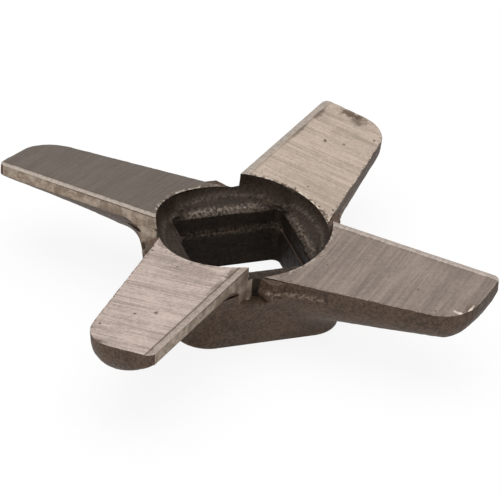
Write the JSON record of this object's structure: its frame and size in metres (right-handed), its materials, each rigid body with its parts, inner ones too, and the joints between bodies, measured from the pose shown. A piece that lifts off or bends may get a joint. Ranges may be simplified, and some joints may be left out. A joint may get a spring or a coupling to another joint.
{
  "type": "meat grinder knife",
  "caption": "Cross-shaped cutting knife for a meat grinder: flat ground faces on tapering arms, a round recess and a square drive bore in the hub.",
  "frame": {"origin": "centre of the hub's flat rear face, on the axis of the square bore", "axes": "+Z along the bore axis towards the cutting side; +X and +Y square to two flats of the bore"},
  "size_m": [0.0462, 0.0462, 0.0102],
  "materials": {
    "steel": "ground cutting faces, rough cast skin elsewhere"
  },
  "bodies": {
    "root": {"knife": "steel"}
  },
  "joints": []
}
